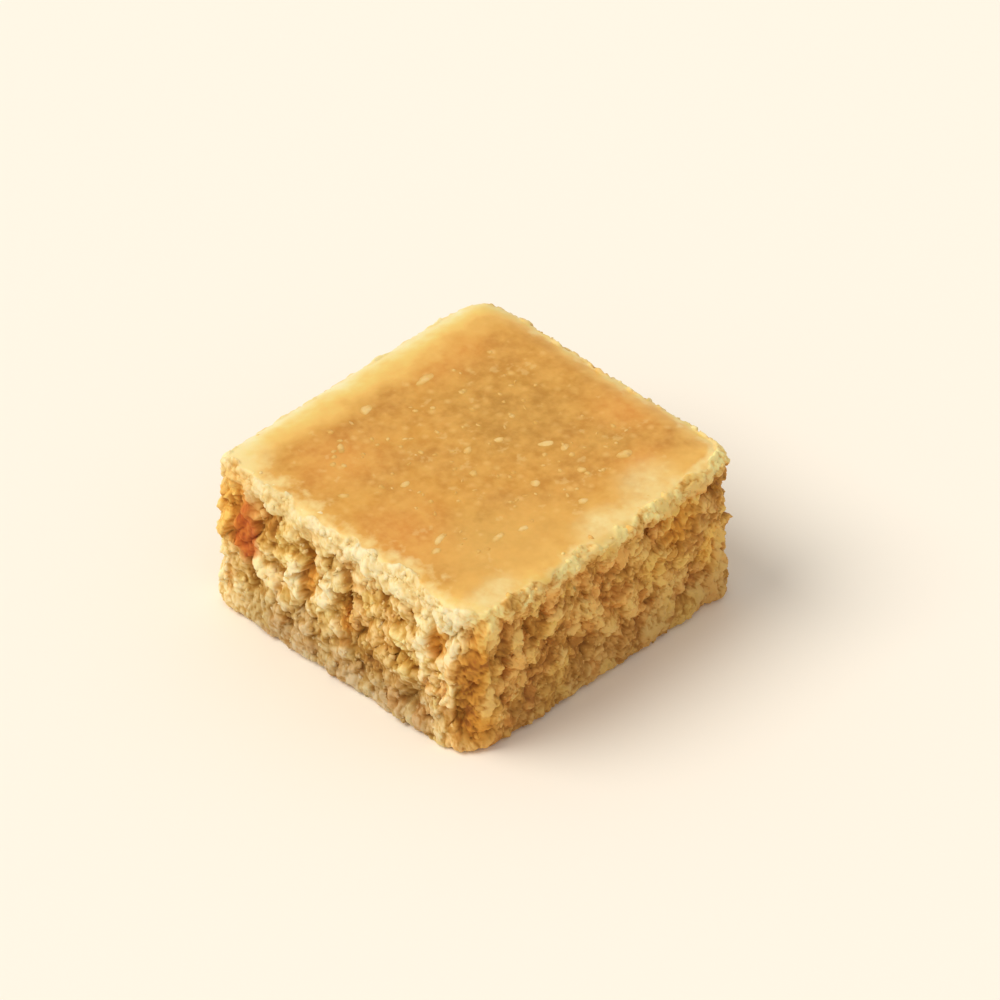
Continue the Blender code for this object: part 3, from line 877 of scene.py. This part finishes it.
def new_surface(name, roughness, reach):
    """A new material's node tree and its surface shader, with a little light passing under the surface."""
    material = bpy.data.materials.new(name)
    material.use_nodes = True
    surface = material.node_tree.nodes["Principled BSDF"]
    surface.inputs["Roughness"].default_value = roughness
    surface.inputs["Subsurface Weight"].default_value = PASSING_LIGHT
    surface.inputs["Subsurface Radius"].default_value = PASSING_CHANNELS
    surface.inputs["Subsurface Scale"].default_value = reach
    return material, material.node_tree, surface


def add_bump(tree, surface, strength, distance, height):
    """The finest relief of a surface: how strongly it shows, its real depth, and its height from 0 to 1."""
    bump = {"Strength": strength, "Distance": distance, "Height": height}
    tree.links.new(add_node(tree, "ShaderNodeBump", bump).outputs["Normal"], surface.inputs["Normal"])


def slab_material(group):
    """The slab's surface: crumb on its cut sides and skin on its top."""
    material, tree, surface = new_surface("barfi_crumb_and_skin", CRUMB_ROUGHNESS, SLAB_LIGHT_REACH)
    crumb_here = placed_crumb(tree, group)
    cut_here = ranged(tree, attribute(tree, "cut"), *CUT_EDGE)
    colour = blended(tree, cut_here, skin_colour(tree), crumb_here["colour"])
    tree.links.new(colour, surface.inputs["Base Color"])
    roughness = ranged(tree, cut_here, 0.0, 1.0, SKIN_ROUGHNESS, CRUMB_ROUGHNESS)
    tree.links.new(roughness, surface.inputs["Roughness"])
    grain = {0: cut_here, 2: noise(tree, SKIN_BUMP_SIZE), 3: crumb_here["grit"]}
    height = add_node(tree, "ShaderNodeMix", grain, data_type="FLOAT").outputs[0]
    strength = ranged(tree, cut_here, 0.0, 1.0, SKIN_BUMP, CRUMB_BUMP)
    add_bump(tree, surface, strength, SLAB_BUMP_DEPTH, height)
    return material


crumb_colours = crumb_group()
slab.data.materials.append(slab_material(crumb_colours))
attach(slab, "root")
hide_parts("barfi")


# The crumbs. Where the knife tore the mass, lumps and grains of cooked gram flour cling to the sides and
# the rim, each a little irregular body sunk partly into the crumb, held by ghee and sugar. Four kinds are
# told apart by size, and each kind is one piece.

# Of each kind: its name, spacing, least and greatest size, the rings and columns of its bodies, and its seed
CRUMB_KINDS = (
    ("barfi_lumps", 0.0019, (0.0009, 0.0016), 6, 9, 7),
    ("barfi_crumbs", 0.0010, (0.0007, 0.0012), 4, 7, 8),
    ("barfi_grains", 0.0009, (0.0004, 0.0008), 3, 6, 9),
    ("barfi_grit", 0.0015, (0.00025, 0.00045), 3, 5, 10),
)
SMALL_ONES_FAVOURED = 1.6

# How far they are sunk, in parts of their size, the share that clings at each side's rim and how far down,
# how much they keep off corners and glows, the share that clings to the skin's edge and how far in, between
# which darknesses they thin out, the lowest height, in least sizes, and the step of the slab's grid
CRUMB_SUNK = (0.20, 0.45)
CRUMBS_AT_RIM = (1.0, 0.25, 0.7, 0.25)
CRUMBS_AT_RIM_BELOW = 0.0024
CRUMBS_OFF_CORNERS = 1.0
CRUMBS_OFF_GLOWS = 0.6
CRUMBS_ON_SKIN = 0.3
CRUMBS_ON_SKIN_REACH = 0.0014
CRUMBS_THIN_OUT = (1.6, 0.8)
LOWEST_CRUMB = 0.5
GRID_STEP = 0.00019

# The form of their bodies, in parts of their size
CRUMB_RADIUS = 0.6
CRUMB_SQUEEZE = (0.55, 1.0)
CRUMB_LOBES = 4
LOBE_OFFSET = (0.20, 0.45)
LOBE_RADIUS = (0.50, 0.72)
CRUMB_FLATS = 8
FLAT_INSET = (0.42, 0.85)
LEAST_SLOPE = 0.05
CRUMB_RAGGED = (0.86, 1.10)

# The share of the darkness below, its painted shade and tone, that they take on, how much darker each and
# all of them are, and how much lighter where they stand out, so that their sides towards the slab take a
# painted shade. Then their finest relief, and how far light passes under their surface
DARKNESS_TAKEN = 0.6
CRUMB_TONES = (-0.06, 0.24)
CRUMBS_DARKER = 0.06
TIPS_LIGHTER = 0.35
LOOSE_BUMP = 0.55
LOOSE_BUMP_DEPTH = 0.00010
LOOSE_LIGHT_REACH = 0.0001


def unit(vectors):
    """Vectors brought to a length of 1."""
    return vectors / np.linalg.norm(vectors, axis=-1, keepdims=True)


def random_turns(count, rng):
    """So many random rotations, each as three directions at right angles."""
    first = unit(rng.normal(size=(count, 3)))
    second = unit(np.cross(first, rng.normal(size=(count, 3))))
    return np.stack([first, second, np.cross(first, second)], axis=1)


def ring_sphere(rings, columns):
    """A sphere of radius 1 as rings from its upper pole down to its lower one."""
    down = np.pi * np.arange(1, rings + 1)[:, None] / (rings + 1)
    turn = 2 * np.pi * np.arange(columns)[None] / columns
    ring = np.dstack([np.sin(down) * np.cos(turn), np.sin(down) * np.sin(turn), np.cos(down + 0 * turn)])
    return np.concatenate([[[0.0, 0.0, 1.0]], ring.reshape(-1, 3), [[0.0, 0.0, -1.0]]])


def crumb_bodies(count, rings, columns, rng):
    """So many crumbs about 1 across. Each direction's radius is where its ray leaves the furthest of a few
    round lobes that lie round the middle, or the nearest of a few broken flats, whichever comes first. The
    body is then squeezed along its three axes and turned at random."""
    sphere = ring_sphere(rings, columns)
    lobes = unit(rng.normal(size=(count, CRUMB_LOBES, 3)))
    lobes = lobes * rng.uniform(*LOBE_OFFSET, (count, CRUMB_LOBES, 1))
    along = np.einsum("vx,clx->cvl", sphere, lobes)
    spare = rng.uniform(*LOBE_RADIUS, (count, 1, CRUMB_LOBES)) ** 2 - (lobes ** 2).sum(axis=2)[:, None]
    lobed = (along + np.sqrt(spare + along ** 2)).max(axis=2)
    flats = unit(rng.normal(size=(count, CRUMB_FLATS, 3)))
    slope = np.maximum(np.einsum("vx,cfx->cvf", sphere, flats), LEAST_SLOPE)
    broken = (rng.uniform(*FLAT_INSET, (count, 1, CRUMB_FLATS)) / slope).min(axis=2)
    ragged = np.minimum(lobed, broken) * rng.uniform(*CRUMB_RAGGED, lobed.shape)
    bodies = sphere * ragged[..., None] * rng.uniform(*CRUMB_SQUEEZE, (count, 1, 3))
    return CRUMB_RADIUS * np.einsum("cvx,cxy->cvy", bodies, random_turns(count, rng))


def many_faces(count, rings, columns):
    """The faces of so many like bodies, numbered one body after another."""
    offsets = (2 + rings * columns) * np.arange(count)[:, None, None]
    return [(part + offsets).reshape(-1, part.shape[1]) for part in ring_faces(rings, columns)]


def crumb_material(group):
    """The surface of the clinging crumbs, in the crumb's own colours."""
    material, tree, surface = new_surface("barfi_loose_crumb", CRUMB_ROUGHNESS, LOOSE_LIGHT_REACH)
    crumb_here = placed_crumb(tree, group)
    tree.links.new(crumb_here["colour"], surface.inputs["Base Color"])
    add_bump(tree, surface, LOOSE_BUMP, LOOSE_BUMP_DEPTH, crumb_here["grit"])
    return material


def spread_points(spacing, rng):
    """Points of the slab's grid, one drawn at random from each square patch of its rim, sides and foot."""
    stride = spacing / GRID_STEP
    end = len(slab_profile()) - BASE_ROWS
    rows = np.arange(TOP_ROWS, end, stride)
    columns = np.arange(0, COLUMNS, stride)
    drawn = rng.uniform(0.0, stride, (2, len(rows), len(columns)))
    row = np.minimum(rows[:, None] + drawn[0], end - 1).astype(int)
    column = (columns + drawn[1]).astype(int) % COLUMNS
    return (1 + row * COLUMNS + column).ravel()


def clinging_crumbs(name, spacing, sizes, rings, columns, seed):
    """One kind of crumb, spread over the cut sides and the rim, and thinnest in the hollows."""
    rng = np.random.default_rng(seed)
    chosen = spread_points(spacing, rng)
    held = np.maximum(cut, CRUMBS_ON_SKIN * smooth_step(CRUMBS_ON_SKIN_REACH, 0.0, inside))
    held = held * smooth_step(*CRUMBS_THIN_OUT, darkness) * (clean[:, 2] > LOWEST_CRUMB * sizes[0])
    near_top = smooth_step(HEIGHT - CRUMBS_AT_RIM_BELOW, HEIGHT - RIM_RADIUS, clean[:, 2])
    held *= 1.0 - near_top * (1.0 - by_side(CRUMBS_AT_RIM, outline))
    held *= 1.0 - CRUMBS_OFF_CORNERS * abs(2.0 * outline[:, 0] * outline[:, 1])
    held = held * (1.0 - looks["stain"]) * (1.0 - CRUMBS_OFF_GLOWS * looks["glow"])
    chosen = chosen[rng.uniform(size=len(chosen)) < held[chosen]]
    count = len(chosen)
    size = sizes[0] + (sizes[1] - sizes[0]) * rng.uniform(size=count) ** SMALL_ONES_FAVOURED
    outward = facing[chosen]
    bodies = crumb_bodies(count, rings, columns, rng)
    centre = carved[chosen] - outward * (size * rng.uniform(*CRUMB_SUNK, count))[:, None]
    points = centre[:, None] + bodies * size[:, None, None]
    points[..., 2] = np.maximum(points[..., 2], 0.0)
    # Painted shade: a crumb is lighter where it faces out and darker towards the slab
    raised = np.einsum("cvx,cx->cv", bodies, outward)
    tone = rng.uniform(*CRUMB_TONES, (count, 1))
    spread = {label: np.repeat(values[chosen], bodies.shape[1]) for label, values in looks.items()}
    below = DARKNESS_TAKEN * looks["darkness"][chosen][:, None]
    spread["darkness"] = (below + tone + CRUMBS_DARKER - TIPS_LIGHTER * raised).ravel()
    faces = many_faces(count, rings, columns)
    return mesh_piece(name, points.reshape(-1, 3), faces, **spread)


loose_crumb = crumb_material(crumb_colours)
for kind in CRUMB_KINDS:
    crumbs = clinging_crumbs(*kind)
    crumbs.data.materials.append(loose_crumb)
    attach(crumbs, "root")


# The flecks. Flakes of cooked gram flour and sugar lie in the skin, pressed nearly flush with it in the
# tin. The largest have their own places, and small ones are scattered between them.

# Of each large fleck: place along X and Y, length, width and turn
LARGE_FLECKS = (
    (0.0040, 0.0113, 0.0030, 0.0012, 0.0),
    (-0.0035, 0.0120, 0.0020, 0.0013, 0.5),
    (0.0054, -0.0043, 0.0020, 0.0011, -0.5),
    (0.0063, -0.0060, 0.0014, 0.0010, 0.4),
    (0.0003, -0.0078, 0.0014, 0.0011, 0.9),
    (0.0050, -0.0096, 0.0013, 0.0010, -0.7),
    (0.0097, -0.0110, 0.0022, 0.0014, -0.4),
    (-0.0125, -0.0072, 0.0022, 0.0009, 0.4),
    (-0.0140, -0.0082, 0.0014, 0.0009, 0.2),
    (0.0017, -0.0130, 0.0014, 0.0010, -0.3),
    (-0.0009, 0.0004, 0.0017, 0.0009, 0.3),
    (0.0025, -0.0006, 0.0014, 0.0009, -0.4),
    (-0.0095, 0.0095, 0.0014, 0.0009, 0.8),
    (-0.0145, 0.0040, 0.0013, 0.0009, -0.6),
    (-0.0082, -0.0110, 0.0022, 0.0009, 0.2),
    (-0.0055, -0.0118, 0.0016, 0.0008, -0.2),
    (-0.0030, -0.0025, 0.0013, 0.0009, 0.6),
    (-0.0090, 0.0010, 0.0014, 0.0009, 0.1),
)
SMALL_FLECKS = 100
SMALL_FLECKS_INSET = 0.0070
SMALL_FLECK_SIZES = (0.0003, 0.0009)
FLECK_SEED = 11
FLECK_THICKNESS = 0.00008
FLECK_SUNK = 0.00003
FLECK_RINGS = 6
FLECK_COLUMNS = 14

# The waves that make the outline ragged: how many go round it and how deep, how strong, and where they start
FLECK_WAVES = ((2, 0.16), (3, 0.14), (5, 0.08))
FLECK_WAVES_VARY = (0.4, 1.0)
FLECK_WAVES_START = (0.0, 7.0)

# How deep in tone each fleck is, and how much deeper the small ones and the edges are. Then their mottle,
# their colours and their surface
FLECK_TONES = (0.0, 0.4)
SMALL_FLECKS_DEEPER = 0.3
FLECK_EDGE_DEEPER = 0.75
FLECK_MOTTLE_SIZE = 0.0006
FLECK_MOTTLE = 0.22
FLECK_COLOURS = ((0.1, (244, 200, 126)), (0.5, (235, 182, 97)), (0.9, (221, 162, 70)))
FLECK_ROUGHNESS = 0.45
FLECK_LIGHT_REACH = 0.0006


def fleck_bodies(count, rng):
    """So many flat flecks about 1 across: a sphere squared flat in height, so that each is a low dome down
    to a thin edge, with its outline pushed in and out by a few waves round it."""
    sphere = ring_sphere(FLECK_RINGS, FLECK_COLUMNS)
    turn = np.arctan2(sphere[:, 1], sphere[:, 0])
    ragged = np.ones((count, len(sphere)))
    for waves, depth in FLECK_WAVES:
        strength = rng.uniform(*FLECK_WAVES_VARY, (count, 1))
        start = rng.uniform(*FLECK_WAVES_START, (count, 1))
        ragged += depth * strength * np.cos(waves * turn + start)
    height = np.broadcast_to(sphere[:, 2] * abs(sphere[:, 2]), ragged.shape)
    return 0.5 * np.dstack([sphere[:, 0] * ragged, sphere[:, 1] * ragged, height])


def skin_flecks():
    """The flecks, each turned about Z and pressed into the skin at its place, and their tones."""
    rng = np.random.default_rng(FLECK_SEED)
    reach = np.array([WIDTH, DEPTH]) / 2 - SMALL_FLECKS_INSET
    places = rng.uniform(-1.0, 1.0, (SMALL_FLECKS, 2)) * reach
    sizes = rng.uniform(*SMALL_FLECK_SIZES, (SMALL_FLECKS, 2))
    turns = rng.uniform(0.0, np.pi, (SMALL_FLECKS, 1))
    flecks = np.concatenate([LARGE_FLECKS, np.hstack([places, sizes, turns])])
    x, y, length, width, turn = flecks[:, :, None].transpose(1, 0, 2)
    bodies = fleck_bodies(len(flecks), rng)
    along, across = bodies[..., 0] * length, bodies[..., 1] * width
    place_x = x + along * np.cos(turn) - across * np.sin(turn)
    place_y = y + along * np.sin(turn) + across * np.cos(turn)
    skin = settle(np.stack([place_x, place_y, np.full_like(place_x, HEIGHT)], axis=-1).reshape(-1, 3))
    skin[:, 2] += (bodies[..., 2] * 2 * FLECK_THICKNESS - FLECK_SUNK).ravel()
    tone = rng.uniform(*FLECK_TONES, (len(flecks), 1))
    tone[len(LARGE_FLECKS):] += SMALL_FLECKS_DEEPER
    out = 2.0 * np.hypot(bodies[..., 0], bodies[..., 1])
    faces = many_faces(len(flecks), FLECK_RINGS, FLECK_COLUMNS)
    return mesh_piece("barfi_flecks", skin, faces, tone=(tone + FLECK_EDGE_DEEPER * out ** 2).ravel())


def fleck_material():
    """The surface of the flecks: a pale peach gold in the middle of each, and the skin's gold at its edge."""
    material, tree, surface = new_surface("barfi_fleck", FLECK_ROUGHNESS, FLECK_LIGHT_REACH)
    mottle = ranged(tree, noise(tree, FLECK_MOTTLE_SIZE), *NOISE_RANGE, -FLECK_MOTTLE, FLECK_MOTTLE)
    tone = calculated(tree, "ADD", attribute(tree, "tone"), mottle)
    tree.links.new(ramp(tree, tone, FLECK_COLOURS), surface.inputs["Base Color"])
    return material


flecks = skin_flecks()
flecks.data.materials.append(fleck_material())
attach(flecks, "root")


# The studio: a plain pale floor, one broad soft light from the left and above, and light from all round.
# The camera stands where the photograph was taken from, looking down over the near corner.
FLOOR_SIZE = 3.0
FLOOR_COLOUR = srgb(252, 244, 230)
FLOOR_ROUGHNESS = 0.9
CAMERA_AZIMUTH = np.radians(-45.05)
CAMERA_ELEVATION = np.radians(39.3)
CAMERA_DISTANCE = 0.900
CAMERA_LENS = 326.6
CAMERA_CLIP = (0.01, 10.0)
AIM_RIGHT = 0.00235
AIM_UP = 0.00912
KEY_FROM = (-0.50, 0.36, 0.80)
KEY_POWER = 1.90
KEY_SOFTNESS = np.radians(40)
KEY_COLOUR = (1.0, 0.97, 0.92)
SKY_POWER = 0.58
SKY_COLOUR = (1.0, 0.985, 0.96, 1.0)


def floor_piece():
    """A square sheet at height 0, four points round the origin."""
    x, y = FLOOR_SIZE / 2 * np.array([[-1, 1, 1, -1], [-1, -1, 1, 1]])
    piece = mesh_piece("studio_floor", np.stack([x, y, np.zeros(4)], axis=1), [np.arange(4)[None]])
    material = bpy.data.materials.new("studio_paper")
    material.use_nodes = True
    surface = material.node_tree.nodes["Principled BSDF"]
    surface.inputs["Base Color"].default_value = FLOOR_COLOUR
    surface.inputs["Roughness"].default_value = FLOOR_ROUGHNESS
    piece.data.materials.append(material)
    return piece


def looking_back(azimuth, elevation):
    """The direction from the object towards an eye at an azimuth and an elevation."""
    level = np.cos(elevation)
    return Vector((np.sin(azimuth) * level, -np.cos(azimuth) * level, np.sin(elevation)))


floor_piece()

world = bpy.data.worlds.new("studio")
world.use_nodes = True
sky = world.node_tree.nodes["Background"].inputs
sky["Color"].default_value = SKY_COLOUR
sky["Strength"].default_value = SKY_POWER
bpy.context.scene.world = world

key = bpy.data.objects.new("key_light", bpy.data.lights.new("key_light", "SUN"))
key.data.energy = KEY_POWER
key.data.angle = KEY_SOFTNESS
key.data.color = KEY_COLOUR
key.rotation_euler = Vector(KEY_FROM).to_track_quat("Z", "Y").to_euler()
bpy.context.scene.collection.objects.link(key)

back = looking_back(CAMERA_AZIMUTH, CAMERA_ELEVATION)
right = Vector((np.cos(CAMERA_AZIMUTH), np.sin(CAMERA_AZIMUTH), 0.0))
camera = bpy.data.objects.new("camera", bpy.data.cameras.new("camera"))
camera.location = AIM_RIGHT * right + AIM_UP * back.cross(right) + CAMERA_DISTANCE * back
camera.rotation_euler = back.to_track_quat("Z", "Y").to_euler()
camera.data.lens = CAMERA_LENS
camera.data.clip_start, camera.data.clip_end = CAMERA_CLIP
bpy.context.scene.collection.objects.link(camera)
bpy.context.scene.camera = camera
bpy.context.scene.view_settings.view_transform = "Standard"
